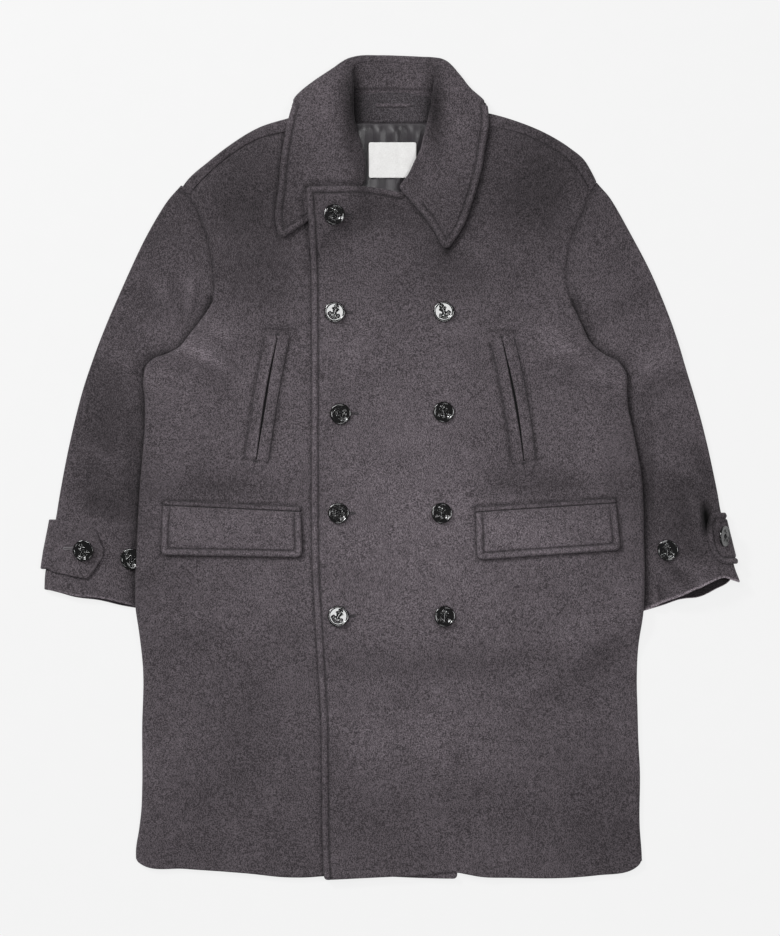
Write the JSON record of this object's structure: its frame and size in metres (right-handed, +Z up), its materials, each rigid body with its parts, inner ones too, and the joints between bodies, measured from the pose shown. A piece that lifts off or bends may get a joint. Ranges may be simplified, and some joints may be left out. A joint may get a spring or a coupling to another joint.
{
  "type": "pea coat",
  "caption": "Long double-breasted pea coat in heavy charcoal wool with a wide turned-down collar, slanted pockets, flap pockets and cuff straps, buttoned and laid flat on its back.",
  "frame": {"origin": "middle of the coat's bounding box, at the height of the surface it lies on", "axes": "+Z up off the surface, +Y towards the collar, +X towards the wearer's left"},
  "size_m": [0.9067, 1.0728, 0.0311],
  "materials": {
    "charcoal_wool": "napped melton wool",
    "inner_wool": "napped melton wool, shaded inside",
    "satin_lining": "satin",
    "white_tape": "woven tape",
    "black_resin": "polished"
  },
  "bodies": {
    "root": {"back": "charcoal_wool", "front_under": "charcoal_wool", "front_over": "charcoal_wool", "sleeve_left": "charcoal_wool", "sleeve_right": "charcoal_wool", "tab_left": "charcoal_wool", "tab_right": "charcoal_wool", "collar_fall": "charcoal_wool", "collar_stand": "charcoal_wool", "flap_left": "charcoal_wool", "flap_right": "charcoal_wool", "flap_jet_left": "charcoal_wool", "flap_jet_right": "charcoal_wool", "pocket_lip_left_inner": "charcoal_wool", "pocket_lip_left_outer": "charcoal_wool", "pocket_lip_right_inner": "charcoal_wool", "pocket_lip_right_outer": "charcoal_wool", "facing_back_neck": "inner_wool", "hanger_loop": "inner_wool", "lining_back": "satin_lining", "label_blank": "white_tape", "button_top": "black_resin", "button_left_1": "black_resin", "button_right_1": "black_resin", "button_left_2": "black_resin", "button_right_2": "black_resin", "button_left_3": "black_resin", "button_right_3": "black_resin", "button_left_4": "black_resin", "button_right_4": "black_resin", "button_cuff_left": "black_resin", "button_cuff_left_spare": "black_resin", "button_cuff_right": "black_resin", "button_cuff_right_spare": "black_resin"}
  },
  "joints": []
}
